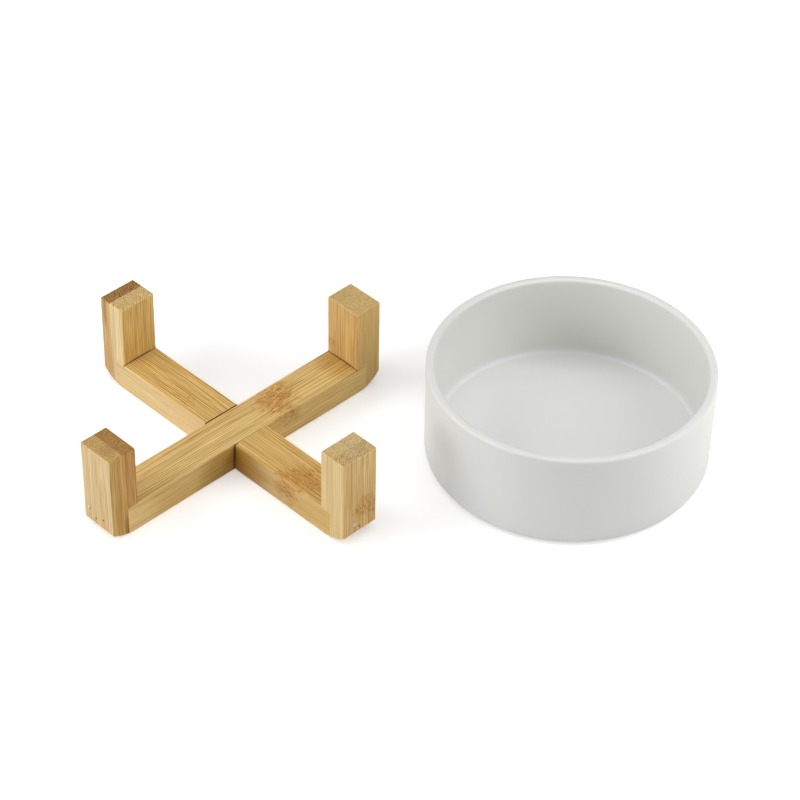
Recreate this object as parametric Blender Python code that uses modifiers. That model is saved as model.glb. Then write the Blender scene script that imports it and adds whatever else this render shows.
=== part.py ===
"""Pet food bowl on a raised bamboo stand.

A turned stoneware bowl, and the cross-shaped stand that holds it off the floor.
The stand comes apart into two halves, which slot together in a half-lap joint.
Each half is a rail with a post glued and bradded to each end.
The bowl is modelled lifted out of the posts and set down beside the stand.

Metres, +Z up. The origin is on the floor, under the middle of the crossing.
"""

import math

import bmesh
import bpy

# Bowl
BOWL_DIAMETER = 0.155
BOWL_HEIGHT = 0.0585
WALL_THICKNESS = 0.0048
WALL_DRAFT = 0.0006
FLOOR_THICKNESS = 0.007
COVE_RADIUS = 0.004
BASE_EDGE_RADIUS = 0.005
FOOT_WIDTH = 0.006
FOOT_HEIGHT = 0.0015

# Stand
RAIL_WIDTH = 0.0233
RAIL_HEIGHT = 0.0175
RAIL_EDGE_ROUNDING = 0.0007
POST_HEIGHT = 0.0554
POST_THICKNESS = 0.0174
POST_EDGE_ROUNDING = 0.0008
REBATE_DEPTH = 0.007
UPPER_HALF_TURN = 45  # degrees from +X; the lower half crosses it squarely

# Heels: the outer bottom corner of each end, sanded round after gluing. Each is a radius and a
# reach: the arc starts flat on the underside, its reach in from the post's outer face, runs out
# over the rail's end and the post, and meets the outer face at an angle.
FRONT_LEFT_HEEL = (0.0254, 0.0143)
BACK_RIGHT_HEEL = (0.0204, 0.0158)
FRONT_RIGHT_HEEL = (0.0260, 0.0157)
BACK_LEFT_HEEL = (0.0200, 0.0152)

# Brads: each spot is measured from the rail's left edge and down from its top,
# looking at the outer face of the post
BRAD_DIAMETER = 0.0009
BRAD_LENGTH = 0.025
BRAD_POINT = 0.0015
BRAD_RECESS = 0.0004
FRONT_LEFT_BRADS = ((0.0048, 0.0048), (0.0094, 0.0092), (0.0154, 0.0068))
BACK_RIGHT_BRADS = ((0.0056, 0.0056), (0.0108, 0.0040), (0.0165, 0.0064))
FRONT_RIGHT_BRADS = ((0.0070, 0.0059), (0.0113, 0.0101))
BACK_LEFT_BRADS = ((0.0062, 0.0049), (0.0135, 0.0082))

# Fits
BOWL_CLEARANCE = 0.0011
LAP_CLEARANCE = 0.0003
GLUE_GAP = 0.0003
BRAD_CLEARANCE = 0.00015

# Where the bowl stands beside the stand: the gap between them, and how far back it is
BOWL_SIDE_GAP = 0.0245
BOWL_SET_BACK = 0.0052

# Facets
BOWL_STEPS = 96
BRAD_STEPS = 10
RIM_SEGMENTS = 10
FILLET_SEGMENTS = 6
EDGE_SEGMENTS = 3
MERGE_DISTANCE = 0.00001
SHARP_ANGLE = math.radians(35)
EASED_ANGLE = math.radians(25)
FLAT_ANGLE = math.radians(1)
CUT_MARGIN = 0.005
HEEL_RUN_IN = 0.002

# Derived places
BOWL_RADIUS = BOWL_DIAMETER / 2
POST_INNER = BOWL_RADIUS + BOWL_CLEARANCE
POST_OUTER = POST_INNER + POST_THICKNESS
REBATE_END = POST_INNER + REBATE_DEPTH
RAIL_END = REBATE_END - GLUE_GAP
LOWER_HALF_TURN = UPPER_HALF_TURN - 90
STAND_REACH = max(
    POST_OUTER * math.cos(math.radians(turn)) + RAIL_WIDTH / 2 * abs(math.sin(math.radians(turn)))
    for turn in (UPPER_HALF_TURN, LOWER_HALF_TURN)
)
BOWL_PLACE = (STAND_REACH + BOWL_SIDE_GAP + BOWL_RADIUS, BOWL_SET_BACK, 0)


def clear_scene():
    for old in list(bpy.data.objects):
        bpy.data.objects.remove(old, do_unlink=True)


def make_collection(name):
    collection = bpy.data.collections.new(name)
    bpy.context.scene.collection.children.link(collection)
    return collection


def make_material(name, color, roughness, metallic):
    material = bpy.data.materials.new(name)
    material.use_nodes = True
    shader = material.node_tree.nodes["Principled BSDF"]
    shader.inputs["Base Color"].default_value = (*color, 1)
    shader.inputs["Roughness"].default_value = roughness
    shader.inputs["Metallic"].default_value = metallic
    material.diffuse_color = (*color, 1)
    return material


clear_scene()
PARTS = make_collection("pet_food_bowl")
CUTTERS = make_collection("cutters")


def arc(center, radius, start, end, segments):
    """Points of a round stretch, from one angle in degrees to another."""
    points = []
    for step in range(segments + 1):
        angle = math.radians(start + (end - start) * step / segments)
        points.append((center[0] + radius * math.cos(angle), center[1] + radius * math.sin(angle)))
    return points


def add_object(name, mesh, collection, material=None, parent=None):
    item = bpy.data.objects.new(name, mesh)
    collection.objects.link(item)
    item.parent = parent
    if material:
        mesh.materials.clear()
        mesh.materials.append(material)
    return item


def add_frame(name, turn=0, parent=None):
    """An empty that carries a group of pieces, turned about the vertical."""
    frame = bpy.data.objects.new(name, None)
    PARTS.objects.link(frame)
    frame.rotation_euler.z = math.radians(turn)
    frame.parent = parent
    return frame


def box_mesh(name, low, high):
    """A closed box between two corners."""
    mesh = bpy.data.meshes.new(name)
    box = bmesh.new()
    bmesh.ops.create_cube(box, size=1)
    for vertex in box.verts:
        for axis in range(3):
            vertex.co[axis] = high[axis] if vertex.co[axis] > 0 else low[axis]
    box.to_mesh(mesh)
    box.free()
    return mesh


def outline_mesh(name, points, half_depth):
    """A closed slab with the given flat outline, its thickness along its own Z."""
    curve = bpy.data.curves.new(name + "_outline", "CURVE")
    curve.dimensions = "2D"
    curve.fill_mode = "BOTH"
    curve.extrude = half_depth
    spline = curve.splines.new("POLY")
    spline.points.add(len(points) - 1)
    for point, place in zip(spline.points, points):
        point.co = (*place, 0, 1)
    spline.use_cyclic_u = True
    drawing = bpy.data.objects.new(name + "_outline", curve)
    CUTTERS.objects.link(drawing)
    bpy.context.view_layer.update()
    evaluated = drawing.evaluated_get(bpy.context.evaluated_depsgraph_get())
    mesh = bpy.data.meshes.new_from_object(evaluated)
    bpy.data.objects.remove(drawing, do_unlink=True)
    shape = bmesh.new()
    shape.from_mesh(mesh)
    bmesh.ops.remove_doubles(shape, verts=shape.verts, dist=MERGE_DISTANCE)
    bmesh.ops.dissolve_limit(shape, angle_limit=FLAT_ANGLE, verts=shape.verts, edges=shape.edges)
    shape.to_mesh(mesh)
    shape.free()
    mesh.name = name
    return mesh


def turn_mesh(item, profile, steps):
    """Gives an object the profile's edges and turns them about its Z axis."""
    edges = [(index, index + 1) for index in range(len(profile) - 1)]
    item.data.from_pydata([(x, 0, z) for x, z in profile], edges, [])
    screw = item.modifiers.new("turned", "SCREW")
    screw.axis = "Z"
    screw.steps = steps
    screw.render_steps = steps
    screw.use_merge_vertices = True
    screw.merge_threshold = MERGE_DISTANCE
    screw.use_smooth_shade = True


def stand_on_edge(mesh):
    """Turns a slab drawn in X and Y so that it stands up in X and Z."""
    for vertex in mesh.vertices:
        x, y, z = vertex.co
        vertex.co = (x, -z, y)


def cut(item, cutter):
    boolean = item.modifiers.new("cut_" + cutter.name, "BOOLEAN")
    boolean.operation = "DIFFERENCE"
    boolean.solver = "EXACT"
    boolean.object = cutter


def add_cutter(name, mesh, parent):
    cutter = add_object(name, mesh, CUTTERS, parent=parent)
    cutter.hide_render = True
    cutter.display_type = "WIRE"
    return cutter


def bowl_profile():
    """Half section of the bowl: up its inside, over the rim, down the wall and across the foot."""
    rim_radius = WALL_THICKNESS / 2
    rim_center = (BOWL_RADIUS - rim_radius, BOWL_HEIGHT - rim_radius)
    base_radius = BOWL_RADIUS - WALL_DRAFT
    inner_radius = base_radius - WALL_THICKNESS
    floor_top = FOOT_HEIGHT + FLOOR_THICKNESS
    foot_outer = base_radius - BASE_EDGE_RADIUS
    foot_inner = foot_outer - FOOT_WIDTH
    cove_center = (inner_radius - COVE_RADIUS, floor_top + COVE_RADIUS)
    base_center = (foot_outer, BASE_EDGE_RADIUS)
    profile = [(0, floor_top)]
    profile += arc(cove_center, COVE_RADIUS, -90, 0, FILLET_SEGMENTS)
    profile += arc(rim_center, rim_radius, 180, 0, RIM_SEGMENTS)
    profile += arc(base_center, BASE_EDGE_RADIUS, 0, -90, FILLET_SEGMENTS)
    profile += arc((foot_inner - FOOT_HEIGHT, 0), FOOT_HEIGHT, 0, 90, FILLET_SEGMENTS // 2)
    profile.append((0, FOOT_HEIGHT))
    return profile


def make_bowl(material):
    """The bowl, turned in one piece: coved floor, rounded rim and a foot ring underneath."""
    bowl = add_object("bowl", bpy.data.meshes.new("bowl"), PARTS, material)
    turn_mesh(bowl, bowl_profile(), BOWL_STEPS)
    bowl.location = BOWL_PLACE
    return bowl


def make_rail(name, half, material):
    """A rail along X with its long edges rounded, before its joint is cut."""
    side = RAIL_WIDTH / 2
    rounding = RAIL_EDGE_ROUNDING
    section = []
    for corner_y, corner_z, start in ((1, 1, 0), (-1, 1, 90), (-1, -1, 180), (1, -1, 270)):
        center_y = corner_y * (side - rounding)
        center_z = RAIL_HEIGHT / 2 + corner_z * (RAIL_HEIGHT / 2 - rounding)
        section += arc((center_y, center_z), rounding, start, start + 90, EDGE_SEGMENTS)
    mesh = outline_mesh(name, section, RAIL_END)
    for vertex in mesh.vertices:
        across, up, along = vertex.co
        vertex.co = (along, across, up)
    return add_object(name, mesh, PARTS, material, half)


def cut_lap(rail, half, open_side):
    """Half-lap notch across the middle of a rail, open at its top (1) or its underside (-1)."""
    reach = RAIL_WIDTH / 2 + LAP_CLEARANCE
    shoulder = RAIL_HEIGHT / 2 - open_side * LAP_CLEARANCE / 2
    edge = RAIL_HEIGHT / 2 + open_side * (RAIL_HEIGHT / 2 + CUT_MARGIN)
    width = RAIL_WIDTH / 2 + CUT_MARGIN
    low = (-reach, -width, min(shoulder, edge))
    high = (reach, width, max(shoulder, edge))
    name = rail.name + "_lap"
    cut(rail, add_cutter(name, box_mesh(name, low, high), half))


def heel_arc(radius, reach):
    """Points of a post's heel, from its underside up to its outer face."""
    reach = min(reach, radius, POST_THICKNESS)
    center = (POST_OUTER - reach, radius)
    turn = math.degrees(math.asin(reach / radius))
    return arc(center, radius, -90, turn - 90, FILLET_SEGMENTS)


def make_post(name, end, heel, material):
    """A post at the end of a rail, notched so that its inner lip sits on top of the rail."""
    outline = [(POST_INNER, 0)]
    outline += [point for point in heel_arc(*heel) if point[0] > POST_INNER]
    outline += [(POST_OUTER, POST_HEIGHT), (POST_INNER, POST_HEIGHT)]
    mesh = outline_mesh(name, outline, RAIL_WIDTH / 2)
    stand_on_edge(mesh)
    post = add_object(name, mesh, PARTS, material, end)
    easing = post.modifiers.new("rounded_edges", "BEVEL")
    easing.width = POST_EDGE_ROUNDING
    easing.segments = EDGE_SEGMENTS
    easing.limit_method = "ANGLE"
    easing.angle_limit = EASED_ANGLE
    width = RAIL_WIDTH / 2 + CUT_MARGIN
    low = (POST_INNER - CUT_MARGIN, -width, -CUT_MARGIN)
    high = (REBATE_END, width, RAIL_HEIGHT + GLUE_GAP)
    rebate = name + "_rebate"
    cut(post, add_cutter(rebate, box_mesh(rebate, low, high), end))
    return post


def trim_heel(rail, name, end, heel):
    """Carries a post's heel on into its rail, where the arc starts short of the rail's end."""
    curve = heel_arc(*heel)
    if curve[0][0] > RAIL_END - MERGE_DISTANCE:
        return
    past = POST_OUTER + CUT_MARGIN
    start = curve[0][0] - HEEL_RUN_IN
    outline = [(start, -CUT_MARGIN), (start, -HEEL_RUN_IN / 10)] + curve[1:]
    outline += [(past, curve[-1][1]), (past, -CUT_MARGIN)]
    mesh = outline_mesh(name, outline, RAIL_WIDTH / 2 + CUT_MARGIN)
    stand_on_edge(mesh)
    cut(rail, add_cutter(name, mesh, end))


def make_brad(name, end, spot, material):
    """A headless brad, driven through the post into the end grain of the rail."""
    from_left, from_top = spot
    place = (POST_OUTER - BRAD_RECESS, from_left - RAIL_WIDTH / 2, RAIL_HEIGHT - from_top)
    radius = BRAD_DIAMETER / 2
    brad = add_object(name, bpy.data.meshes.new(name), PARTS, material, end)
    profile = [(0, 0), (radius, 0), (radius, BRAD_POINT - BRAD_LENGTH), (0, -BRAD_LENGTH)]
    turn_mesh(brad, profile, BRAD_STEPS)
    brad.location = place
    brad.rotation_euler.y = math.radians(90)
    hole = bpy.data.meshes.new(name + "_hole")
    drill = bmesh.new()
    length = BRAD_LENGTH + BRAD_RECESS + BRAD_CLEARANCE + CUT_MARGIN
    bore = radius + BRAD_CLEARANCE
    bmesh.ops.create_cone(
        drill, cap_ends=True, segments=BRAD_STEPS, radius1=bore, radius2=bore, depth=length
    )
    drill.to_mesh(hole)
    drill.free()
    cutter = add_cutter(name + "_hole", hole, end)
    cutter.location = (POST_OUTER + CUT_MARGIN - length / 2, place[1], place[2])
    cutter.rotation_euler.y = math.radians(90)
    return cutter


def make_half(name, turn, lap_side, ends, bamboo, steel):
    """One half of the stand: a rail, a post on each end and the brads that hold them."""
    half = add_frame(name + "_half", turn)
    rail = make_rail(name + "_rail", half, bamboo)
    cut_lap(rail, half, lap_side)
    for end_name, end_turn, heel, brad_spots in ends:
        end = add_frame(end_name + "_end", end_turn, half)
        post = make_post("post_" + end_name, end, heel, bamboo)
        trim_heel(rail, end_name + "_heel", end, heel)
        for number, spot in enumerate(brad_spots, start=1):
            hole = make_brad("brad_" + end_name + "_" + str(number), end, spot, steel)
            cut(post, hole)
            cut(rail, hole)
    return half


GLAZE = make_material("matte_glaze", (0.74, 0.74, 0.72), 0.45, 0)
BAMBOO = make_material("bamboo", (0.58, 0.38, 0.16), 0.5, 0)
STEEL = make_material("brad_steel", (0.35, 0.33, 0.31), 0.4, 1)

UPPER_ENDS = (
    ("back_right", 0, BACK_RIGHT_HEEL, BACK_RIGHT_BRADS),
    ("front_left", 180, FRONT_LEFT_HEEL, FRONT_LEFT_BRADS),
)
LOWER_ENDS = (
    ("front_right", 0, FRONT_RIGHT_HEEL, FRONT_RIGHT_BRADS),
    ("back_left", 180, BACK_LEFT_HEEL, BACK_LEFT_BRADS),
)

make_bowl(GLAZE)
make_half("upper", UPPER_HALF_TURN, -1, UPPER_ENDS, BAMBOO, STEEL)
make_half("lower", LOWER_HALF_TURN, 1, LOWER_ENDS, BAMBOO, STEEL)

for piece in PARTS.objects:
    if piece.type == "MESH":
        piece.data.shade_smooth()
        piece.data.set_sharp_from_angle(angle=SHARP_ANGLE)
bpy.context.view_layer.update()
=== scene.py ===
import math

import bmesh
import bpy
from mathutils import Matrix, Vector


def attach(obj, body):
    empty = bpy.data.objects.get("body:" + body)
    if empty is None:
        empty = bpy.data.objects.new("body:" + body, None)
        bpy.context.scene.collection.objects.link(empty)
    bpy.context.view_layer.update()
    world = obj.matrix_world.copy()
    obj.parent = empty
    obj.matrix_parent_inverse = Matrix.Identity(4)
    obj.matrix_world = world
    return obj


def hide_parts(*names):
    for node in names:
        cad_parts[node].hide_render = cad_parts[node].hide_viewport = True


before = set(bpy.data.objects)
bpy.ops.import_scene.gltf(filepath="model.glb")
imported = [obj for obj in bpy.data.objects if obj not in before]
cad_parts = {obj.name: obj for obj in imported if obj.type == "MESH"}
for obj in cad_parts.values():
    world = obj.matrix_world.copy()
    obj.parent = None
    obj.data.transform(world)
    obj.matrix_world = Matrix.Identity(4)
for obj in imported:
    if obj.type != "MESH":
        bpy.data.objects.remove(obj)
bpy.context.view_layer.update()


# Lower rail: the bamboo bar that lies under the crossing, from the back left post to the front
# right one. It is planed from one strip, its long edges are eased with sandpaper, and the
# half-lap notch is sawn into its top. A clear satin oil finishes it.
# Sizes are in millimetres and angles in degrees, unless a comment says otherwise.
MM = 0.001
RAIL_WIDTH = 23.3
RAIL_HEIGHT = 17.5
RAIL_END = 85.58
RAIL_ROUNDING = 0.7
SAWN_ROUNDING = 0.06
LAP_GAP = 0.2
NOTCH_HALF = RAIL_WIDTH / 2 + LAP_GAP
LOWER_TURN = -45
POST_OUTER = 96.0
POST_HEIGHT = 55.4
BORE_END = 70.2
BORE_RADIUS = 0.6
BORE_SIDES = 16
LONGEST_BORE_FACET = 0.5
SHARP_ANGLE = 35
ROUNDING_STEPS = 3
TOLERANCE = 0.01
FRONT_RIGHT_BRADS = ((-4.65, 11.6), (-0.35, 7.4))
BACK_LEFT_BRADS = ((-5.45, 12.6), (1.85, 9.3))
FRONT_RIGHT_HEEL = (26.0, 15.7)
BACK_LEFT_HEEL = (20.0, 15.2)
HEEL_STEPS = 6

# What each kind of mark in the wood does to its tone, how far apart its strands lie, how wide a
# rubbed edge with its painted highlight is, and how far apart in the noise two pieces of wood lie.
DARK_STREAK = (0.88, 0.84, 0.74)
WARM_STREAK = (0.9, 0.81, 0.62)
GROOVE = (0.72, 0.63, 0.45)
GLEAM = (1.13, 1.15, 1.22)
STRAND = (0.66, 0.53, 0.34)
BETWEEN_STRANDS = (1.14, 1.16, 1.24)
DASH = (0.62, 0.49, 0.3)
SCAR = (0.97, 0.83, 0.57)
FLECK = (0.5, 0.34, 0.16)
PORE = (0.5, 0.38, 0.24)
PORE_ROW = (0.68, 0.57, 0.42)
# Lighter on the eased edges: partly rubbed wood, partly a painted highlight.
RUBBED_EDGE_HIGHLIGHT = (1.25, 1.27, 1.35)
STRAND_SPACING = 1.25
RUBBED_HIGHLIGHT_BAND = 0.9
SEED_STEPS = (37.3, 11.9, 5.7)


class Wire:
    """What a node gives out. Arithmetic on it adds Math nodes."""

    def __init__(self, recipe, socket):
        self.recipe = recipe
        self.socket = socket

    def math(self, operation, first, second=0.0):
        return self.recipe.node("ShaderNodeMath", {"operation": operation}, {0: first, 1: second})

    def __add__(self, other):
        return self.math("ADD", self, other)

    def __radd__(self, other):
        return self.math("ADD", other, self)

    def __sub__(self, other):
        return self.math("SUBTRACT", self, other)

    def __rsub__(self, other):
        return self.math("SUBTRACT", other, self)

    def __mul__(self, other):
        return self.math("MULTIPLY", self, other)

    def __rmul__(self, other):
        return self.math("MULTIPLY", other, self)

    def __truediv__(self, other):
        return self.math("DIVIDE", self, other)

    def __pow__(self, other):
        return self.math("POWER", self, other)

    def __abs__(self):
        return self.math("ABSOLUTE", self)

    def most(self, other):
        return self.math("MAXIMUM", self, other)


class Recipe:
    """A node tree being written, for a finish or for a shape."""

    def __init__(self, tree):
        self.tree = tree

    def node(self, kind, settings=None, sockets=None, output=0):
        """Adds one node: its settings first, then the values or wires of its sockets.

        The setting "choices" is how many items an index switch has.
        """
        made = self.tree.nodes.new(kind)
        for name, value in (settings or {}).items():
            if name == "choices":
                while len(made.index_switch_items) < value:
                    made.index_switch_items.new()
            else:
                setattr(made, name, value)
        for name, value in (sockets or {}).items():
            if isinstance(value, Wire):
                self.tree.links.new(value.socket, made.inputs[name])
            elif made.inputs[name].type == "RGBA":
                made.inputs[name].default_value = (*value, 1)
            else:
                made.inputs[name].default_value = value
        return Wire(self, made.outputs[output])

    def vector(self, x, y, z):
        return self.node("ShaderNodeCombineXYZ", {}, {0: x, 1: y, 2: z})

    def place(self, turn=0):
        """Object coordinates in millimetres, turned about the vertical into a rail's own frame."""
        raw = self.node("ShaderNodeTexCoord", {}, {}, "Object")
        sockets = {"Vector": raw, "Rotation": (0, 0, math.radians(-turn)), "Scale": (1 / MM,) * 3}
        turned = self.node("ShaderNodeMapping", {"vector_type": "POINT"}, sockets)
        split = self.node("ShaderNodeSeparateXYZ", {}, {0: turned})
        outputs = split.socket.node.outputs
        return [Wire(self, outputs[axis]) for axis in range(3)]

    def rise(self, value, low, high):
        """0 below low, 1 above high, and smooth between them."""
        settings = {"interpolation_type": "SMOOTHSTEP"}
        sockets = {"Value": value, "From Min": low, "From Max": high}
        return self.node("ShaderNodeMapRange", settings, sockets)

    def noise(self, vector, detail=2.0, roughness=0.5):
        sockets = {"Vector": vector, "Scale": 1.0, "Detail": detail, "Roughness": roughness}
        return self.node("ShaderNodeTexNoise", {}, sockets)

    def blend(self, amount, first, second, how="MIX"):
        settings = {"data_type": "RGBA", "blend_type": how}
        return self.node("ShaderNodeMix", settings, {0: amount, 6: first, 7: second}, 2)

    def tint(self, amount, color, factors):
        """The colour multiplied by the factors, where and as far as the amount says."""
        return self.blend(amount, color, self.blend(1.0, color, factors, "MULTIPLY"))


def bamboo(
    name, turn, upright, seed, body, block,
    plies=None, faces=(), patches=(), stains_and_shade=(), crown=None, lines=0.6, flanks=0.6,
):
    """Oiled bamboo, its fibres along a rail or up a post, with the marks that this piece has, and
    light and shade painted into its tone.

    body is the wood's tone. block is the bar's middle and half sizes, which place its flanks and
    the rubbed edges that get a painted highlight. plies is how far out the glue line lies, and the
    outer strip's tone. A face is the way it looks, the distances between which its tone sets in,
    and that tone, or one per strip; the face tones are partly the wood's own and partly painted
    shade and sheen. A patch is a node's scar: middle, radii, slant, tone and amount. Each of
    stains_and_shade is a soft spot, a real stain, a painted shadow or a painted pool of light:
    middle, radii, tone and amount. crown is how open the pores of each strip's sawn top are,
    lines how much the strands show, and flanks how much the grain shows on the sides.
    """
    material = bpy.data.materials.new(name)
    material.use_nodes = True
    recipe = Recipe(material.node_tree)
    along, across, up = recipe.place(turn)
    fibre, side, depth = (up, across, along) if upright else (along, across, up)
    shift = [seed * step for step in SEED_STEPS]

    def field(long, wide, deep, extra=0.0, **more):
        """Noise in lumps of a given length along the fibre, width and depth."""
        x = fibre / long + (shift[0] + extra)
        y = bent_side / wide + shift[1]
        z = bent_depth / deep + shift[2]
        return recipe.noise(recipe.vector(x, y, z), **more)

    def distance(center, radii, slant=0.0):
        """0 at a spot's middle and 1 at its rim."""
        x = (along - center[0] + across * slant) / radii[0]
        y = (across - center[1]) / radii[1]
        z = (up - center[2]) / radii[2]
        return (x ** 2 + y ** 2 + z ** 2) ** 0.5

    # The fibres sway a little along the bar, and swirl where a node was.
    bent_side, bent_depth = side, depth
    sway = field(50, 15, 15) - 0.5
    swirl = 0.0
    masks = []
    for center, radii, slant, tone, amount in patches:
        lump = field(5, 3, 3, 7.0)
        mask = 1 - recipe.rise(distance(center, radii, slant) + (lump - 0.5) * 1.5, 0.4, 1.15)
        masks.append((mask, tone, amount))
        swirl = mask * 1.6 + swirl
    if patches:
        swirl = (field(7, 4, 4, 3.0) - 0.5) * swirl
    bent_side = side + sway * 1.6 + swirl
    bent_depth = depth + sway * 1.4 + swirl

    # 1 on the bar's sides, its ends, and its top and bottom; where two of them meet, the edge
    # is rubbed and gets a painted highlight.
    middle, half = block
    flank = recipe.rise(abs(across - middle[1]), half[1] - RUBBED_HIGHLIGHT_BAND, half[1] - 0.3)
    end = recipe.rise(abs(along - middle[0]), half[0] - RUBBED_HIGHLIGHT_BAND, half[0] - 0.2)
    roof = recipe.rise(abs(up - middle[2]), half[2] - RUBBED_HIGHLIGHT_BAND, half[2] - 0.2)
    rubbed_highlight = (flank * end).most(flank * roof).most(end * roof)
    crisp = 1 - flank * (1 - flanks)

    # The wood's tone: by strip; by face, partly the wood's own and partly painted shade and sheen;
    # and in soft spots: real stains, painted shadows and painted light.
    color = body
    if plies:
        outer = recipe.rise(along, plies[0] - 0.1, plies[0] + 0.1)
        color = recipe.blend(outer, color, plies[1])
    face_shade_sides = {"out": along, "in": 0 - along, "up": up}
    for way, low, high, tone in faces:
        if plies and len(tone) == 2:
            tone = recipe.blend(outer, *tone)
        color = recipe.blend(recipe.rise(face_shade_sides[way], low, high), color, tone)
    for center, radii, tone, amount in stains_and_shade:
        spot = distance(center, radii) + (sway * 0.5 if max(radii[:2]) > 3 else 0.0)
        color = recipe.blend((1 - recipe.rise(spot, 0.5, 1.1)) * amount, color, tone)

    # Broad streaks, then the fine grain: dark grooves and pale gleams between them.
    broad = field(70, 5.5, 5.5, 1.0)
    color = recipe.tint(recipe.rise(broad, 0.35, 0.68) * 0.5, color, DARK_STREAK)
    warm = field(80, 1.7, 2.2, 2.0)
    color = recipe.tint(recipe.rise(warm, 0.48, 0.66) * 0.4, color, WARM_STREAK)
    fine = field(60, 0.62, 0.62, 4.0, detail=2.0, roughness=0.6)
    grooves = recipe.rise(fine, 0.5, 0.6) * crisp
    color = recipe.tint(grooves * 0.6, color, GROOVE)
    gleam = (1 - recipe.rise(fine, 0.38, 0.47)) * crisp
    color = recipe.tint(gleam * 0.85, color, GLEAM)

    # Strands at an even spacing that drift and fade, and the dashes of single vessels.
    drift = field(60, 1.9, 1.9, 8.0) * 2.0
    phase = (bent_side + bent_depth * 0.8) / STRAND_SPACING + drift
    wave = recipe.node("ShaderNodeMath", {"operation": "SINE"}, {0: phase * (2 * math.pi)})
    present = recipe.rise(field(28, 1.6, 1.6, 9.0), 0.34, 0.52) * crisp * lines
    strands = recipe.rise(wave, 0.1, 0.8) * present
    color = recipe.tint(strands, color, STRAND)
    between = (1 - recipe.rise(wave, -0.8, -0.1)) * present
    color = recipe.tint(between, color, BETWEEN_STRANDS)
    cells = recipe.vector(fibre / 55 + shift[0], bent_side / 1.1, bent_depth / 1.1)
    dashes = recipe.node("ShaderNodeTexVoronoi", {}, {"Vector": cells, "Scale": 1.0})
    dashes = (1 - recipe.rise(dashes, 0.08, 0.24)) * crisp
    color = recipe.tint(dashes * 0.7, color, DASH)

    # Nodes: a warm scar, mottled and flecked along the fibre.
    mottle = recipe.rise(field(3.4, 0.6, 0.6, 5.0, detail=3.0), 0.47, 0.6)
    flecks = recipe.rise(field(2.8, 0.42, 0.42, 6.0, detail=1.0), 0.55, 0.64)
    for mask, tone, amount in masks:
        color = recipe.tint(mask * amount * 0.75, color, SCAR)
        color = recipe.blend(mask * mottle * amount, color, tone)
        color = recipe.tint(mask * flecks * amount, color, FLECK)

    # Sawn end grain on a post's top: pores, and the rows that they lie in.
    if crown:
        top = recipe.rise(up, POST_HEIGHT - 0.5, POST_HEIGHT - 0.2)
        cells = recipe.vector(along / 0.7, across / 0.7, shift[2])
        pores = recipe.node("ShaderNodeTexVoronoi", {}, {"Vector": cells, "Scale": 1.0})
        pores = (1 - recipe.rise(pores, 0.18, 0.42)) * top
        rows = recipe.vector(along / 1.3 + shift[1], across / 0.7 + along * 0.4, shift[2])
        rows = recipe.rise(recipe.noise(rows, detail=2.0), 0.5, 0.62) * top
        inner_open, outer_open = crown
        amount = outer * (outer_open - inner_open) + inner_open if plies else inner_open
        color = recipe.tint(pores * amount, color, PORE)
        color = recipe.tint(rows * amount * 0.8, color, PORE_ROW)
        color = recipe.tint(rows * amount ** 4 * 0.9, color, PORE)
    # The eased edges lighter: partly rubbed wood, partly a painted highlight.
    color = recipe.tint(rubbed_highlight * 0.45, color, RUBBED_EDGE_HIGHLIGHT)

    # The grain's relief and sheen.
    relief = fine * 0.5 - strands * 0.3 - dashes * 0.35
    sockets = {"Strength": 0.35, "Distance": 0.0002, "Height": relief}
    bump = recipe.node("ShaderNodeBump", {}, sockets)
    shader = material.node_tree.nodes["Principled BSDF"]
    link = material.node_tree.links.new
    link(color.socket, shader.inputs["Base Color"])
    link((0.46 + fine * 0.12 + dashes * 0.08).socket, shader.inputs["Roughness"])
    link(bump.socket, shader.inputs["Normal"])
    shader.inputs["Specular IOR Level"].default_value = 0.4
    return material


def bar_mesh(name, outline, half_width):
    """A closed bar: its outline in length and height, the same all the way across."""
    shape = bmesh.new()
    near = [shape.verts.new((u * MM, -half_width * MM, z * MM)) for u, z in outline]
    far = [shape.verts.new((u * MM, half_width * MM, z * MM)) for u, z in outline]
    shape.faces.new(near)
    shape.faces.new(reversed(far))
    for index, start in enumerate(near):
        following = (index + 1) % len(near)
        shape.faces.new((near[following], start, far[index], far[following]))
    bmesh.ops.recalc_face_normals(shape, faces=shape.faces)
    mesh = bpy.data.meshes.new(name)
    shape.to_mesh(mesh)
    shape.free()
    return mesh


def add_piece(name, mesh, material):
    """A new object in the scene, all of one material."""
    piece = bpy.data.objects.new(name, mesh)
    bpy.context.scene.collection.objects.link(piece)
    mesh.materials.clear()
    mesh.materials.append(material)
    return piece


def plain_mesh(piece):
    """Keeps what the modifiers make as the piece's own mesh."""
    bpy.context.view_layer.update()
    evaluated = piece.evaluated_get(bpy.context.evaluated_depsgraph_get())
    mesh = bpy.data.meshes.new_from_object(evaluated)
    piece.modifiers.clear()
    piece.data = mesh


def drill(piece, end_turn, spots):
    """Bores the brads' holes through one end. Each spot is across and up on the post's face."""
    bits = bmesh.new()
    length = POST_OUTER + 1 - BORE_END
    for across, up in spots:
        upright = Matrix.Rotation(math.radians(90), 4, "Y")
        place = Matrix.Translation(Vector((BORE_END + length / 2, across, up)) * MM) @ upright
        bmesh.ops.create_cone(
            bits, cap_ends=True, segments=BORE_SIDES, radius1=BORE_RADIUS * MM,
            radius2=BORE_RADIUS * MM, depth=length * MM, matrix=place,
        )
    bits.transform(Matrix.Rotation(math.radians(end_turn), 4, "Z"))
    mesh = bpy.data.meshes.new("drill_bits")
    bits.to_mesh(mesh)
    bits.free()
    tool = bpy.data.objects.new("drill_bits", mesh)
    bpy.context.scene.collection.objects.link(tool)
    bore = piece.modifiers.new("bores", "BOOLEAN")
    bore.operation = "DIFFERENCE"
    bore.solver = "EXACT"
    bore.object = tool
    plain_mesh(piece)
    bpy.data.objects.remove(tool, do_unlink=True)


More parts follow.
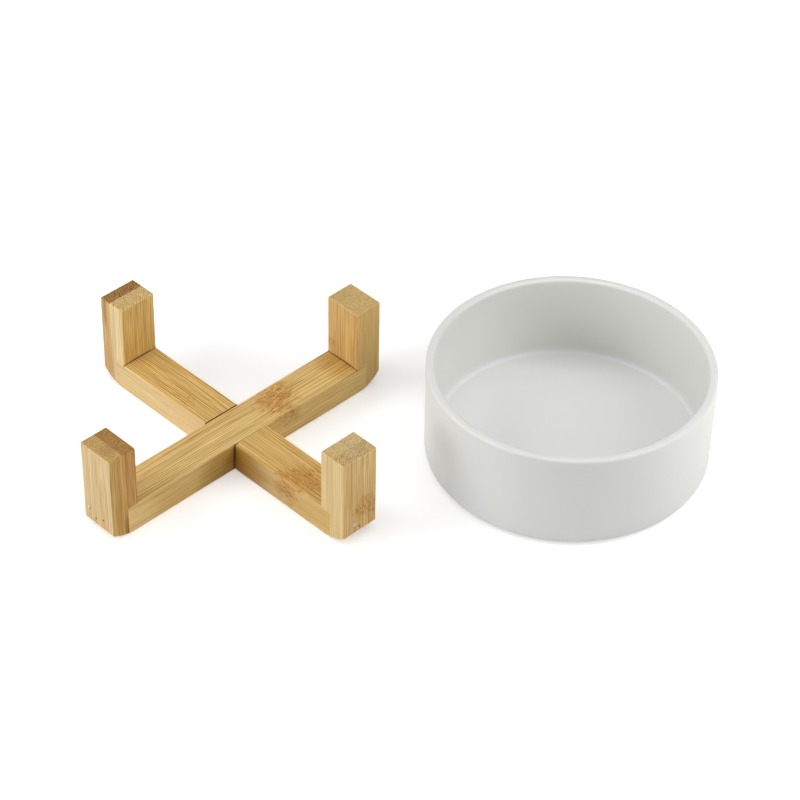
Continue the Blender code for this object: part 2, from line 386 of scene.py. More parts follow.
def ease_edges(piece, rounding, sawn, turn):
    """Rounds the handled edges, leaves the sawn ones nearly sharp, and turns the piece.

    sawn says of an edge's middle and length whether it is handled, sawn or bored.
    """
    mesh = piece.data
    shape = bmesh.new()
    shape.from_mesh(mesh)
    weights = shape.edges.layers.float.new("bevel_weight_edge")
    limit = math.radians(SHARP_ANGLE)
    for edge in shape.edges:
        if len(edge.link_faces) != 2 or edge.calc_face_angle(0) < limit:
            continue
        middle = (edge.verts[0].co + edge.verts[1].co) / 2 / MM
        kind = sawn(middle, edge.calc_length() / MM)
        edge[weights] = {"handled": 1.0, "sawn": SAWN_ROUNDING / rounding, "bored": 0.0}[kind]
        edge.smooth = kind != "bored"
    for face in shape.faces:
        face.smooth = True
    shape.to_mesh(mesh)
    shape.free()
    mesh.transform(Matrix.Rotation(math.radians(turn), 4, "Z"))
    bevel = piece.modifiers.new("eased_edges", "BEVEL")
    bevel.limit_method = "WEIGHT"
    bevel.width = rounding * MM
    bevel.segments = ROUNDING_STEPS
    bevel.loop_slide = False
    bevel.use_clamp_overlap = False
    flat = piece.modifiers.new("flat_faces", "WEIGHTED_NORMAL")
    flat.keep_sharp = True


def heel_arc(heel, start, end, steps):
    """The sanded outer bottom corner, from one distance out to another: heel is radius and reach."""
    radius, reach = heel
    center = POST_OUTER - reach
    low = math.asin(max(start - center, 0) / radius)
    high = math.asin((end - center) / radius)
    turns = [low + (high - low) * step / steps for step in range(steps + 1)]
    return [(center + radius * math.sin(turn), radius - radius * math.cos(turn)) for turn in turns]


def rail_outline(lap_side, right_heel, left_heel):
    """Outline of a rail: the notch in its top (1) or its underside (-1), and a heel at each end."""
    notch = NOTCH_HALF
    shoulder = RAIL_HEIGHT / 2 - lap_side * LAP_GAP / 2
    top = [(RAIL_END, RAIL_HEIGHT), (-RAIL_END, RAIL_HEIGHT)]
    right = heel_arc(right_heel, 0, RAIL_END, HEEL_STEPS)
    left = [(-u, z) for u, z in reversed(heel_arc(left_heel, 0, RAIL_END, HEEL_STEPS))]
    if lap_side > 0:
        top[1:1] = [(notch, RAIL_HEIGHT), (notch, shoulder), (-notch, shoulder), (-notch, RAIL_HEIGHT)]
    else:
        left += [(-notch, 0), (-notch, shoulder), (notch, shoulder), (notch, 0)]
    return left + right + top


def rail_edge(middle, length):
    """Whether an edge of a rail is handled, sawn or bored."""
    if length < LONGEST_BORE_FACET:
        return "bored"
    reach = abs(middle.x)
    at_end = reach > RAIL_END - TOLERANCE
    in_notch = reach < NOTCH_HALF + TOLERANCE and 1 < middle.z < RAIL_HEIGHT - 0.5
    beside_notch = abs(reach - NOTCH_HALF) < TOLERANCE
    return "sawn" if at_end or in_notch or beside_notch else "handled"


NO_WORN_ENDS = 1000
RAIL_BLOCK = ((0, 0, RAIL_HEIGHT / 2), (NO_WORN_ENDS, RAIL_WIDTH / 2, RAIL_HEIGHT / 2))
# Near-black painted shade for the narrow joints and gaps between the parts.
JOINT_SHADE = (0.045, 0.026, 0.012)

lower_bamboo = bamboo(
    "bamboo_lower_rail", LOWER_TURN, False, 1, (0.705, 0.518, 0.253), RAIL_BLOCK,
    # The top's tone against the paler sides: partly the wood's own, partly painted shade and sheen.
    faces=(("up", 16.8, 17.4, (0.69, 0.455, 0.152)),),
    patches=(
        ((58, -3, 17), (13, 12, 5), -0.2, (0.5, 0.245, 0.06), 0.85),
        ((51, -11, 11), (11, 3, 8), 0.0, (0.44, 0.21, 0.05), 1.0),
        ((-36, -6, 17), (8, 5, 3), 0.3, (0.54, 0.27, 0.07), 0.4),
    ),
    stains_and_shade=(
        # Painted shadow on the front side's right half, darkest at the crossing under the upper rail.
        ((85, -12.65, 9), (78, 2, 25), (0.62, 0.415, 0.14), 1.0),
        ((15, -12.65, 7), (34, 2, 22), (0.4, 0.19, 0.008), 0.93),
        # Painted shade in the joints: the tops of the notch walls, the corner at the crossing, and the
        # seat under the back left post.
        ((-11.7, 0, 17.5), (0.4, 60, 2.2), JOINT_SHADE, 1.0),
        ((11.9, -11.65, 17.5), (0.8, 3, 14), JOINT_SHADE, 1.0),
        ((11.7, 3, 17.5), (0.4, 60, 2.2), (0.25, 0.15, 0.05), 0.7),
        ((-78.7, 0, 17.5), (0.8, 60, 2), (0.24, 0.13, 0.045), 0.85),
    ),
    lines=0.95, flanks=0.4,
)
outline = rail_outline(1, FRONT_RIGHT_HEEL, BACK_LEFT_HEEL)
bar = bar_mesh("lower_rail_bar", outline, RAIL_WIDTH / 2)
lower_rail = add_piece("lower_rail_bar", bar, lower_bamboo)
drill(lower_rail, 0, FRONT_RIGHT_BRADS)
drill(lower_rail, 180, BACK_LEFT_BRADS)
ease_edges(lower_rail, RAIL_ROUNDING, rail_edge, LOWER_TURN)
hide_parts("lower_rail")
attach(lower_rail, "lower_half")


# Upper rail: the bar that runs unbroken over the crossing, from the front left post to the back
# right one. Its notch is in its underside, and the back right end is sanded round with its post.
UPPER_TURN = 45
FRONT_LEFT_HEEL = (25.4, 14.3)
BACK_RIGHT_HEEL = (20.4, 15.8)
FRONT_LEFT_BRADS = ((-6.85, 12.7), (-2.25, 8.3), (3.75, 10.7))
BACK_RIGHT_BRADS = ((-6.05, 11.9), (-0.85, 13.5), (4.85, 11.1))

upper_bamboo = bamboo(
    "bamboo_upper_rail", UPPER_TURN, False, 2, (0.78, 0.54, 0.19), RAIL_BLOCK,
    # The top's tone against the lighter sides: partly the wood's own, partly painted light on the
    # sides.
    faces=(("up", 16.8, 17.4, (0.735, 0.52, 0.203)),),
    patches=(
        ((29, 1, 17.5), (14, 14, 4), -0.35, (0.45, 0.19, 0.045), 1.0),
        ((28, -11, 14), (10, 3, 6), 0.0, (0.5, 0.27, 0.075), 0.7),
    ),
    stains_and_shade=(
        # Painted shadow on the front side near the crossing.
        ((-20, -12.65, 6), (24, 2, 25), (0.5, 0.3, 0.05), 0.9),
        # Painted light at both ends of the front side.
        ((-84, -12.65, 8), (25, 2, 25), (0.89, 0.65, 0.27), 1.0),
        ((85, -12.65, 8), (35, 2, 25), (0.86, 0.61, 0.22), 1.0),
        # Painted shade in the corner at the crossing.
        ((-11.7, -11.65, 5), (1.3, 2, 14), (0.1, 0.06, 0.02), 0.85),
        ((77, 0, 18.5), (15, 60, 3), (0.62, 0.385, 0.1), 0.8),
        # Painted shade in the seat under the back right post.
        ((78.6, 0, 17.5), (0.8, 60, 2), (0.24, 0.13, 0.045), 0.85),
    ),
    lines=0.85,
)
outline = rail_outline(-1, BACK_RIGHT_HEEL, FRONT_LEFT_HEEL)
bar = bar_mesh("upper_rail_bar", outline, RAIL_WIDTH / 2)
upper_rail = add_piece("upper_rail_bar", bar, upper_bamboo)
drill(upper_rail, 0, BACK_RIGHT_BRADS)
drill(upper_rail, 180, FRONT_LEFT_BRADS)
ease_edges(upper_rail, RAIL_ROUNDING, rail_edge, UPPER_TURN)
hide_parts("upper_rail")
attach(upper_rail, "upper_half")


# Posts: four short uprights, each laminated from two bamboo strips glued face to face. The inner
# bottom edge is rebated to sit on the rail's end, where glue and brads hold it. The handled edges
# are sanded round, and the outer bottom corner is sanded to a heel.
POST_INNER = 78.6
POST_ROUNDING = 0.8
REBATE_END = 85.6
REBATE_TOP = 17.52


def post_edge(middle, length):
    """Whether an edge of a post is handled, sawn or bored."""
    if length < LONGEST_BORE_FACET:
        return "bored"
    inside = middle.x < REBATE_END + TOLERANCE and middle.z < REBATE_TOP + TOLERANCE
    return "sawn" if inside else "handled"


def make_post(name, half, half_turn, end_turn, heel, brads, material):
    """Saws, drills and sands one post, and stands it on its rail's end."""
    outline = heel_arc(heel, REBATE_END, POST_OUTER, 2 * HEEL_STEPS)
    outline += [(POST_OUTER, POST_HEIGHT), (POST_INNER, POST_HEIGHT)]
    outline += [(POST_INNER, REBATE_TOP), (REBATE_END, REBATE_TOP)]
    upright = bar_mesh(name + "_upright", outline, RAIL_WIDTH / 2)
    post = add_piece(name + "_upright", upright, material)
    drill(post, 0, brads)
    ease_edges(post, POST_ROUNDING, post_edge, half_turn + end_turn)
    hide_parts(name)
    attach(post, half)


POST_BLOCK = (
    ((POST_INNER + POST_OUTER) / 2, 0, POST_HEIGHT / 2),
    ((POST_OUTER - POST_INNER) / 2, RAIL_WIDTH / 2, POST_HEIGHT / 2),
)

front_left_bamboo = bamboo(
    "bamboo_post_front_left", UPPER_TURN + 180, True, 3, (0.62, 0.345, 0.09), POST_BLOCK,
    plies=(87.2, (0.635, 0.376, 0.097)),
    faces=(
        # Face tones: the outer face is paler as painted sheen and light; the top is the end grain's
        # tone.
        ("out", 95.3, 95.8, (0.61, 0.448, 0.227)),
        ("up", 54.9, 55.2, ((0.41, 0.22, 0.055), (0.56, 0.37, 0.13))),
    ),
    stains_and_shade=(
        ((86.4, 12.6, 4), (2.4, 2, 16), (0.4, 0.165, 0.028), 1.0),
        ((84.5, 12.6, 40), (2.2, 2, 40), (0.47, 0.24, 0.055), 0.2),
        ((96.5, 0, 2), (1, 16, 7), (0.6, 0.36, 0.12), 0.6),
        ((96, -7.8, 12.9), (1, 0.9, 0.9), (0.85, 0.72, 0.5), 0.8),
        ((91, 3, 55.4), (4, 5, 1), (0.42, 0.25, 0.08), 0.5),
    ),
    crown=(0.8, 0.6), lines=0.4, flanks=1.35,
)
back_right_bamboo = bamboo(
    "bamboo_post_back_right", UPPER_TURN, True, 4, (0.735, 0.49, 0.166), POST_BLOCK,
    faces=(
        # Face tones, partly the wood's own and partly painted shade.
        ("in", -79.3, -78.8, (0.68, 0.44, 0.155)),
        ("up", 54.9, 55.2, (0.6, 0.43, 0.175)),
    ),
    patches=(((78.6, 8.5, 25), (2, 4, 4), 0.0, (0.42, 0.22, 0.06), 0.7),),
    stains_and_shade=(
        ((96.2, -11.8, 32), (1.2, 1.2, 60), (0.74, 0.4, 0.14), 0.8),
        # Painted shade in the seat line at the rebate's top.
        ((78.4, 0, 17.5), (1, 11.5, 1), (0.2, 0.11, 0.04), 0.9),
    ),
    crown=(0.25, 0.25),
)
front_right_bamboo = bamboo(
    "bamboo_post_front_right", LOWER_TURN, True, 5, (0.7, 0.52, 0.245), POST_BLOCK,
    plies=(87.2, (0.7, 0.52, 0.245)),
    faces=(
        # Face tones, partly the wood's own and partly painted shade.
        ("out", 95.3, 95.8, (0.69, 0.45, 0.165)),
        ("up", 54.9, 55.2, ((0.63, 0.475, 0.235), (0.585, 0.43, 0.212))),
    ),
    patches=(((96, 5, 19.5), (3, 9.5, 8.5), 0.0, (0.46, 0.25, 0.07), 1.0),),
    stains_and_shade=(
        ((96.5, 0, 52), (1, 16, 26), (0.76, 0.54, 0.22), 0.9),
        ((87.5, -8.5, 55.4), (9, 4.5, 1), (0.61, 0.42, 0.165), 0.7),
        ((96, -4.0, 11.0), (1.5, 1.3, 1.2), (0.95, 0.92, 0.86), 1.0),
        ((96, -0.7, 8.6), (1.5, 1.1, 1.1), (0.55, 0.2, 0.09), 0.8),
        ((96, -0.7, 7.2), (1.5, 1.0, 0.8), (0.92, 0.74, 0.62), 0.9),
    ),
    crown=(0.15, 0.62), flanks=0.4,
)
back_left_bamboo = bamboo(
    "bamboo_post_back_left", LOWER_TURN + 180, True, 6, (0.7, 0.55, 0.295), POST_BLOCK,
    plies=(88.3, (0.56, 0.35, 0.12)),
    faces=(
        # Face tones, partly the wood's own and partly painted shade and light.
        ("in", -79.3, -78.8, (0.8, 0.53, 0.165)),
        ("up", 54.9, 55.2, ((0.715, 0.535, 0.24), (0.38, 0.205, 0.045))),
    ),
    stains_and_shade=(
        ((78, 0, 58), (1.5, 20, 32), (0.87, 0.61, 0.21), 0.8),
        ((92.5, 11.65, 50), (1.6, 3, 16), (0.26, 0.14, 0.04), 0.7),
        ((91, 11.65, 25), (0.9, 3, 40), (0.42, 0.25, 0.09), 0.5),
        # Painted shade in the seat line at the rebate's top.
        ((78.4, 0, 17.5), (1, 11.5, 1), (0.2, 0.11, 0.04), 0.9),
    ),
    crown=(0.78, 1.0),
)
make_post(
    "post_front_left", "upper_half", UPPER_TURN, 180,
    FRONT_LEFT_HEEL, FRONT_LEFT_BRADS, front_left_bamboo,
)
make_post(
    "post_back_right", "upper_half", UPPER_TURN, 0,
    BACK_RIGHT_HEEL, BACK_RIGHT_BRADS, back_right_bamboo,
)
make_post(
    "post_front_right", "lower_half", LOWER_TURN, 0,
    FRONT_RIGHT_HEEL, FRONT_RIGHT_BRADS, front_right_bamboo,
)
make_post(
    "post_back_left", "lower_half", LOWER_TURN, 180,
    BACK_LEFT_HEEL, BACK_LEFT_BRADS, back_left_bamboo,
)


# Brads: fine headless steel pins, shot through each post into the end grain of its rail, so that
# they end a little below the surface. They are drawn wire, with a pressed crown and a blunt point.
BRAD_DIAMETER = 0.9
BRAD_LENGTH = 25.0
BRAD_RECESS = 0.4
BRAD_SPACING = 0.3
BRAD_SIDES = 14


def turned(recipe, corners, roundings, spacing, steps):
    """Nodes that round a profile's corners and turn it about Z, as on a lathe or a wheel.

    corners run from the axis at the top, round the outside, back to the axis. spacing is how far
    apart the points on the profile lie, and steps how many stretches make a turn.
    """
    index = recipe.node("GeometryNodeInputIndex")
    count = len(corners)
    choice = {"data_type": "VECTOR", "choices": count}
    places = {"Index": index, **{number + 1: corner for number, corner in enumerate(corners)}}
    places = recipe.node("GeometryNodeIndexSwitch", choice, places)
    choice = {"data_type": "FLOAT", "choices": count}
    radii = {"Index": index, **{number + 1: radius for number, radius in enumerate(roundings)}}
    radii = recipe.node("GeometryNodeIndexSwitch", choice, radii)
    line = recipe.node("GeometryNodeMeshLine", {"mode": "OFFSET"}, {"Count": count})
    line = recipe.node("GeometryNodeSetPosition", {}, {"Geometry": line, "Position": places})
    profile = recipe.node("GeometryNodeMeshToCurve", {}, {"Mesh": line})
    fillet = {"Curve": profile, "Count": 12, "Radius": radii, "Limit Radius": True}
    profile = recipe.node("GeometryNodeFilletCurve", {"mode": "POLY"}, fillet)
    sockets = {"Curve": profile, "Length": spacing * MM}
    profile = recipe.node("GeometryNodeResampleCurve", {"mode": "LENGTH"}, sockets)
    points = recipe.node("GeometryNodeCurveToPoints", {"mode": "EVALUATED"}, {"Curve": profile})
    size = recipe.node("GeometryNodeAttributeDomainSize", {"component": "POINTCLOUD"}, {0: points})
    sockets = {"Size X": 1.0, "Size Y": 1.0, "Vertices X": steps + 1, "Vertices Y": size}
    sheet = recipe.node("GeometryNodeMeshGrid", {}, sockets)
    ring = recipe.node("ShaderNodeMath", {"operation": "FLOOR"}, {0: (index + 0.5) / size})
    where = recipe.node("GeometryNodeInputPosition")
    sockets = {"Geometry": points, "Value": where, "Index": index - ring * size}
    sample = {"data_type": "FLOAT_VECTOR", "domain": "POINT"}
    spot = recipe.node("GeometryNodeSampleIndex", sample, sockets)
    out = recipe.node("ShaderNodeSeparateXYZ", {}, {0: spot}, "X")
    up = recipe.node("ShaderNodeSeparateXYZ", {}, {0: spot}, "Z")
    angle = ring * (2 * math.pi) / steps
    cosine = recipe.node("ShaderNodeMath", {"operation": "COSINE"}, {0: angle})
    sine = recipe.node("ShaderNodeMath", {"operation": "SINE"}, {0: angle})
    sockets = {"Geometry": sheet, "Position": recipe.vector(out * cosine, out * sine, up)}
    body = recipe.node("GeometryNodeSetPosition", {}, sockets)
    sockets = {"Geometry": body, "Distance": 0.00001}
    body = recipe.node("GeometryNodeMergeByDistance", {}, sockets)
    body = recipe.node("GeometryNodeFlipFaces", {}, {"Mesh": body})
    return recipe.node("GeometryNodeSetShadeSmooth", {}, {"Geometry": body})


def shape_tree(name, sizes):
    """A Geometry Nodes tree with a named input for each size, and their wires."""
    tree = bpy.data.node_groups.new(name, "GeometryNodeTree")
    tree.interface.new_socket("Geometry", in_out="INPUT", socket_type="NodeSocketGeometry")
    for size in sizes:
        tree.interface.new_socket(size, in_out="INPUT", socket_type="NodeSocketFloat")
    tree.interface.new_socket("Geometry", in_out="OUTPUT", socket_type="NodeSocketGeometry")
    recipe = Recipe(tree)
    outputs = recipe.node("NodeGroupInput").socket.node.outputs
    return recipe, {socket.name: Wire(recipe, socket) for socket in outputs if socket.name}


def close_tree(recipe, shape, material):
    """Ends a tree: real geometry in place of instances, with its material."""
    shape = recipe.node("GeometryNodeRealizeInstances", {}, {"Geometry": shape})
    sockets = {"Geometry": shape, "Material": material}
    shape = recipe.node("GeometryNodeSetMaterial", {}, sockets)
    recipe.tree.links.new(shape.socket, recipe.tree.nodes.new("NodeGroupOutput").inputs[0])


def run_tree(piece, recipe, sizes):
    """Gives a piece its tree and its sizes, and keeps the result as a plain mesh."""
    modifier = piece.modifiers.new("shape", "NODES")
    modifier.node_group = recipe.tree
    for item in recipe.tree.interface.items_tree:
        if item.in_out == "INPUT" and item.name in sizes:
            modifier[item.identifier] = sizes[item.name]
    plain_mesh(piece)


DARK_STEEL = (0.2, 0.19, 0.18)
LIGHT_STEEL = (0.42, 0.4, 0.38)
RUST = (0.16, 0.09, 0.05)

steel = bpy.data.materials.new("drawn_steel_wire")
steel.use_nodes = True
recipe = Recipe(steel.node_tree)
along, across, up = recipe.place(UPPER_TURN)
drawn = recipe.noise(recipe.vector(along * 0.4, across * 6.0, up * 6.0), detail=3.0)
rust = recipe.rise(recipe.noise(recipe.vector(along * 2.0, across * 2.0, up * 2.0)), 0.55, 0.75)
tone = recipe.blend(drawn, DARK_STEEL, LIGHT_STEEL)
tone = recipe.blend(rust * 0.6, tone, RUST)
shader = steel.node_tree.nodes["Principled BSDF"]
steel.node_tree.links.new(tone.socket, shader.inputs["Base Color"])
steel.node_tree.links.new((0.35 + rust * 0.3).socket, shader.inputs["Roughness"])
shader.inputs["Metallic"].default_value = 1.0

brad_recipe, size = shape_tree("driven_brads", ("Diameter", "Length", "Point", "Crown"))
radius = size["Diameter"] / 2
crown = size["Crown"]
shank = size["Length"] - size["Point"]
corners = (
    brad_recipe.vector(0.0, 0.0, 0.0),
    brad_recipe.vector(radius - crown, 0.0, 0.0),
    brad_recipe.vector(radius, 0.0, 0.0 - crown),
    brad_recipe.vector(radius, 0.0, 0.0 - shank),
    brad_recipe.vector(radius * 0.15, 0.0, 0.0 - size["Length"]),
    brad_recipe.vector(0.0, 0.0, 0.0 - size["Length"]),
)
brad = turned(brad_recipe, corners, (0.0,) * len(corners), BRAD_SPACING, BRAD_SIDES)
settings = {"data_type": "FLOAT_VECTOR"}
outward = brad_recipe.node("GeometryNodeInputNamedAttribute", settings, {"Name": "outward"})
aim = brad_recipe.node("FunctionNodeAlignRotationToVector", {"axis": "Z"}, {"Vector": outward})
sockets = {"Points": size["Geometry"], "Instance": brad, "Rotation": aim}
brads = brad_recipe.node("GeometryNodeInstanceOnPoints", {}, sockets)
close_tree(brad_recipe, brads, steel)


def drive_brads(name, half, ends, nodes):
    """Drives the brads of one half of the stand, as one mesh."""
    places = []
    directions = []
    for turn, spots in ends:
        turning = Matrix.Rotation(math.radians(turn), 3, "Z")
        for across, up in spots:
            places.append(turning @ Vector((POST_OUTER - BRAD_RECESS, across, up)) * MM)
            directions.append(turning @ Vector((1, 0, 0)))
    mesh = bpy.data.meshes.new(name)
    mesh.from_pydata(places, [], [])
    outward = mesh.attributes.new("outward", "FLOAT_VECTOR", "POINT")
    for item, direction in zip(outward.data, directions):
        item.vector = direction
    brads = add_piece(name, mesh, steel)
    lengths = {"Diameter": BRAD_DIAMETER, "Length": BRAD_LENGTH, "Point": 1.5, "Crown": 0.12}
    run_tree(brads, brad_recipe, {size: length * MM for size, length in lengths.items()})
    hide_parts(*nodes)
    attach(brads, half)


drive_brads(
    "upper_half_brads", "upper_half",
    ((UPPER_TURN + 180, FRONT_LEFT_BRADS), (UPPER_TURN, BACK_RIGHT_BRADS)),
    ["brad_front_left_%d" % number for number in (1, 2, 3)]
    + ["brad_back_right_%d" % number for number in (1, 2, 3)],
)
drive_brads(
    "lower_half_brads", "lower_half",
    ((LOWER_TURN, FRONT_RIGHT_BRADS), (LOWER_TURN + 180, BACK_LEFT_BRADS)),
    ["brad_front_right_%d" % number for number in (1, 2)]
    + ["brad_back_left_%d" % number for number in (1, 2)],
)


# Bowl: stoneware, thrown and turned in one piece, with a straight wall, a rim with rounded edges,
# a coved flat floor and a foot ring. It is dipped in a satin white glaze, which is wiped off the
# foot, and it stands on the floor beside the stand.
# The bowl's place is in metres.
BOWL_PLACE = (0.17812, 0.0052, 0)
BOWL_SPACING = 1.0
BOWL_SIDES = 144
# The glaze's tone on the floor, inner wall and outside: the floor lighter, partly pooled glaze and
# partly painted light; the outside darker, as painted shade.
POOLED_AND_LIT_FLOOR_GLAZE = (0.766, 0.767, 0.757)
INNER_GLAZE = (0.745, 0.748, 0.712)
SHADED_OUTER_GLAZE = (0.725, 0.729, 0.697)
# A cooler painted tint on the outside facing the stand, against the warm light the bamboo throws onto
# it.
STAND_BOUNCE_COOLING = (1.02, 1.05, 1.09)
RIM_SHEEN = (1.0, 1.0, 1.02)
POOLED_GLAZE = (1.03, 1.03, 1.035)
CLAY = (0.56, 0.5, 0.4)
PALE_CLAY = (0.7, 0.64, 0.54)

glaze = bpy.data.materials.new("satin_white_glaze")
glaze.use_nodes = True
recipe = Recipe(glaze.node_tree)
x, y, up = recipe.place()
x = x - BOWL_PLACE[0] / MM
y = y - BOWL_PLACE[1] / MM
out = (x ** 2 + y ** 2) ** 0.5
pooled = recipe.noise(recipe.vector(x / 30, y / 30, up / 22), detail=2.0)
wall = recipe.rise(up, 10.5, 15)
skin = recipe.rise(out, 73.5, 75.5)
# Painted cool tint against the warm bounce from the stand.
stand_bounce_cooling = skin * recipe.rise(0 - x, 22, 60) * (1 - recipe.rise(up, 53, 57))
rim = recipe.rise(up, 56.4, 57.8)
# Painted light on the floor and painted shade on the outside.
tone = recipe.blend(wall, POOLED_AND_LIT_FLOOR_GLAZE, INNER_GLAZE)
tone = recipe.blend(skin, tone, SHADED_OUTER_GLAZE)
tone = recipe.tint(stand_bounce_cooling, tone, STAND_BOUNCE_COOLING)
tone = recipe.tint(rim * 0.8, tone, RIM_SHEEN)
tone = recipe.tint(pooled, tone, POOLED_GLAZE)
orange_peel = recipe.noise(recipe.vector(x / 2.2, y / 2.2, up / 2.2), detail=2.0)
rings = recipe.noise(recipe.vector(out / 3.0, up / 3.0, 0.0), detail=1.0)
bare = (1 - recipe.rise(up, 0.35, 0.7)) * recipe.rise(out, 64.8, 65.6)
grog = recipe.noise(recipe.vector(x / 0.8, y / 0.8, up / 0.8), detail=3.0)
clay = recipe.blend(grog, CLAY, PALE_CLAY)
tone = recipe.blend(bare, tone, clay)
relief = orange_peel * 0.25 + rings * 0.6 + grog * bare
sockets = {"Strength": 0.2, "Distance": 0.0003, "Height": relief}
bump = recipe.node("ShaderNodeBump", {}, sockets)
shader = glaze.node_tree.nodes["Principled BSDF"]
glaze.node_tree.links.new(tone.socket, shader.inputs["Base Color"])
glaze.node_tree.links.new((0.4 + pooled * 0.08 + bare * 0.4).socket, shader.inputs["Roughness"])
glaze.node_tree.links.new(bump.socket, shader.inputs["Normal"])

sizes = (
    "Diameter", "Height", "Wall", "Draft", "Floor", "Cove", "Rim inside", "Rim outside", "Base edge",
    "Foot width", "Foot height",
)
bowl_recipe, size = shape_tree("turned_bowl", sizes)
radius = size["Diameter"] / 2
base = radius - size["Draft"]
inside = base - size["Wall"]
floor_top = size["Foot height"] + size["Floor"]
foot_inner = base - size["Base edge"] - size["Foot width"]
corners = (
    bowl_recipe.vector(0.0, 0.0, floor_top),
    bowl_recipe.vector(inside, 0.0, floor_top),
    bowl_recipe.vector(radius - size["Wall"], 0.0, size["Height"]),
    bowl_recipe.vector(radius, 0.0, size["Height"]),
    bowl_recipe.vector(base, 0.0, 0.0),
    bowl_recipe.vector(foot_inner, 0.0, 0.0),
    bowl_recipe.vector(foot_inner, 0.0, size["Foot height"]),
    bowl_recipe.vector(0.0, 0.0, size["Foot height"]),
)
roundings = (
    0.0, size["Cove"], size["Rim inside"], size["Rim outside"], size["Base edge"], 0.0,
    size["Foot height"], 0.0,
)
body = turned(bowl_recipe, corners, roundings, BOWL_SPACING, BOWL_SIDES)
close_tree(bowl_recipe, body, glaze)
bowl = add_piece("turned_bowl", bpy.data.meshes.new("turned_bowl"), glaze)
lengths = {
    "Diameter": 155.0, "Height": 58.5, "Wall": 4.8, "Draft": 0.6, "Floor": 7.0, "Cove": 2.4,
    "Rim inside": 1.2, "Rim outside": 1.3, "Base edge": 5.0, "Foot width": 6.0,
    "Foot height": 1.5,
}
run_tree(bowl, bowl_recipe, {name: length * MM for name, length in lengths.items()})
bowl.data.transform(Matrix.Translation(BOWL_PLACE))
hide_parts("bowl")
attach(bowl, "bowl")


# Studio: a white floor that keeps the soft shadow and glows evenly white further out, large
# diffused lamps at both sides, and the camera where the photograph's was. Distances are in
# metres here, but the glow's are in millimetres, as the floor's coordinates are.
WHITE = (1, 1, 1)
FLOOR_LIFT = 0.4
FLOOR_REACH = 12.0
FLOOR_DROP = 0.0001
GLOW_MIDDLE = (90, 20)
GLOW_START = 110
GLOW_FULL = 420
WORLD_FILL = 0.02
MIDDLE_AIM = (0.09, 0.0, 0.03)
BOWL_AIM = (0.178, 0.005, 0.03)
# Each lamp: azimuth and elevation in degrees, distance, width and height in metres, watts, aim.
LAMPS = (
    ("left_high_softbox", 180, 40, 1.1, 0.7, 0.5, 4.3, MIDDLE_AIM),
    ("left_low_softbox", 210, 12, 1.1, 0.7, 0.5, 5.5, MIDDLE_AIM),
    ("top_softbox", 90, 88, 1.2, 1.0, 1.0, 5.9, MIDDLE_AIM),
    ("right_high_softbox", 0, 45, 0.7, 0.4, 0.4, 1.82, BOWL_AIM),
    ("right_front_softbox", -50, 30, 0.8, 0.5, 0.5, 0.88, BOWL_AIM),
    ("right_low_softbox", -20, 15, 0.6, 0.4, 0.4, 0.9, BOWL_AIM),
)
CAMERA_ELEVATION = 40.367
CAMERA_SWING = 0.181
CAMERA_ROLL = 1.145
CAMERA_AIM = (0.087779, 0.043096, 0)
CAMERA_DISTANCE = 1.630338
CAMERA_LENS = 133.164
CAMERA_SENSOR = 36


def seen_rays(recipe):
    """1 on rays that look at things, from the camera or off a shiny surface, and 0 on others."""
    rays = recipe.node("ShaderNodeLightPath").socket.node.outputs
    seen = Wire(recipe, rays["Is Camera Ray"]).most(Wire(recipe, rays["Is Glossy Ray"]))
    return seen.most(Wire(recipe, rays["Is Transmission Ray"]))


floor_paint = bpy.data.materials.new("white_floor")
floor_paint.use_nodes = True
recipe = Recipe(floor_paint.node_tree)
x, y, _ = recipe.place()
mottle = recipe.noise(recipe.vector(x / 400, y / 400, 0.0))
tone = recipe.blend(mottle, (0.8, 0.8, 0.8), (0.82, 0.82, 0.82))
matte = recipe.node("ShaderNodeBsdfDiffuse", {}, {"Color": tone})
away = ((x - GLOW_MIDDLE[0]) ** 2 + (y - GLOW_MIDDLE[1]) ** 2) ** 0.5
outside = recipe.rise(away, GLOW_START, GLOW_FULL)
near_glow = recipe.node("ShaderNodeEmission", {}, {"Color": WHITE, "Strength": FLOOR_LIFT})
far_glow = recipe.node("ShaderNodeEmission", {}, {"Color": WHITE, "Strength": 1.0})
glow = recipe.node("ShaderNodeMixShader", {}, {0: outside, 1: near_glow, 2: far_glow})
lit = recipe.node("ShaderNodeAddShader", {}, {0: matte, 1: glow})
mixed = recipe.node("ShaderNodeMixShader", {}, {0: seen_rays(recipe), 1: matte, 2: lit})
output = floor_paint.node_tree.nodes["Material Output"]
floor_paint.node_tree.links.new(mixed.socket, output.inputs["Surface"])
sheet = bpy.data.meshes.new("studio_floor")
signs = ((-1, -1), (1, -1), (1, 1), (-1, 1))
corners = [(side_x * FLOOR_REACH, side_y * FLOOR_REACH, -FLOOR_DROP) for side_x, side_y in signs]
sheet.from_pydata(corners, [], [(0, 1, 2, 3)])
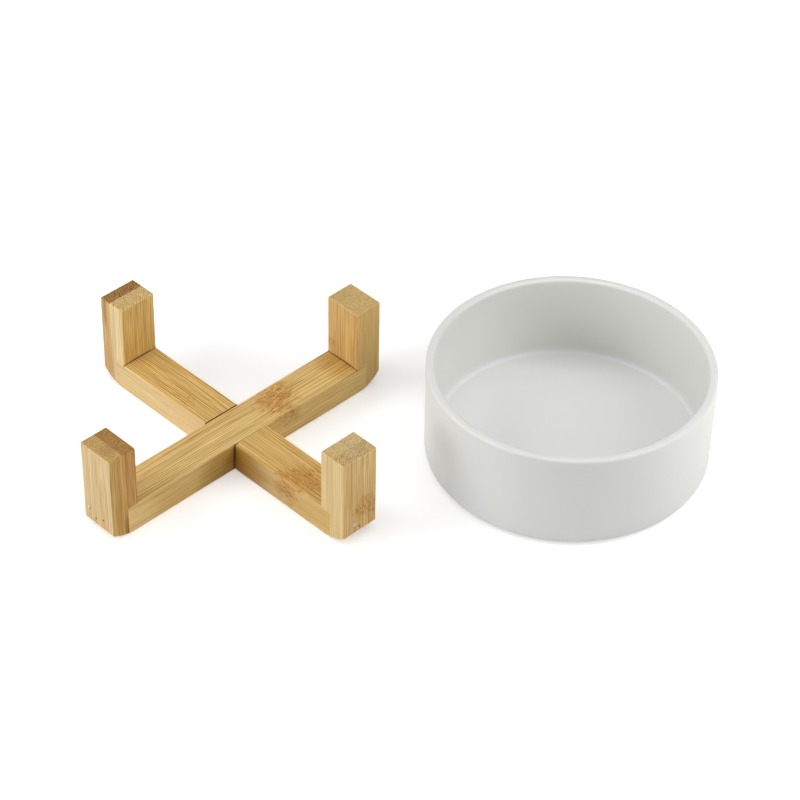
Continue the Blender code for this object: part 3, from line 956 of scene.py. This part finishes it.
add_piece("studio_floor", sheet, floor_paint)

world = bpy.data.worlds.new("studio")
bpy.context.scene.world = world
world.use_nodes = True
recipe = Recipe(world.node_tree)
soft = recipe.node("ShaderNodeBackground", {}, {"Color": WHITE, "Strength": WORLD_FILL})
white = recipe.node("ShaderNodeBackground", {}, {"Color": WHITE, "Strength": 1.0})
mixed = recipe.node("ShaderNodeMixShader", {}, {0: seen_rays(recipe), 1: soft, 2: white})
world.node_tree.links.new(mixed.socket, world.node_tree.nodes["World Output"].inputs["Surface"])


def direction(azimuth, elevation):
    """A unit vector: azimuth in degrees from +X, as seen from above, and elevation from level."""
    swing = math.radians(azimuth)
    level = math.radians(elevation)
    flat = math.cos(level)
    return Vector((flat * math.cos(swing), flat * math.sin(swing), math.sin(level)))


def add_lamp(name, azimuth, elevation, distance, width, height, watts, aim):
    """A softbox that looks at a point from a direction and a distance."""
    lamp = bpy.data.lights.new(name, "AREA")
    lamp.shape = "RECTANGLE"
    lamp.size = width
    lamp.size_y = height
    lamp.energy = watts
    away = direction(azimuth, elevation)
    item = bpy.data.objects.new(name, lamp)
    item.location = Vector(aim) + away * distance
    item.rotation_euler = away.to_track_quat("Z", "Y").to_euler()
    bpy.context.scene.collection.objects.link(item)


for lamp in LAMPS:
    add_lamp(*lamp)

back = direction(-90 - CAMERA_SWING, CAMERA_ELEVATION)
right = direction(-CAMERA_SWING, 0)
roll = math.radians(CAMERA_ROLL)
above = back.cross(right)
right, above = (
    right * math.cos(roll) + above * math.sin(roll),
    above * math.cos(roll) - right * math.sin(roll),
)
lens = bpy.data.cameras.new("camera")
lens.sensor_width = CAMERA_SENSOR
lens.lens = CAMERA_LENS
lens.clip_end = 100
camera = bpy.data.objects.new("camera", lens)
bpy.context.scene.collection.objects.link(camera)
place = Matrix.Translation(Vector(CAMERA_AIM) + back * CAMERA_DISTANCE)
camera.matrix_world = place @ Matrix((right, above, back)).transposed().to_4x4()
bpy.context.scene.camera = camera
bpy.context.scene.view_settings.view_transform = "Standard"
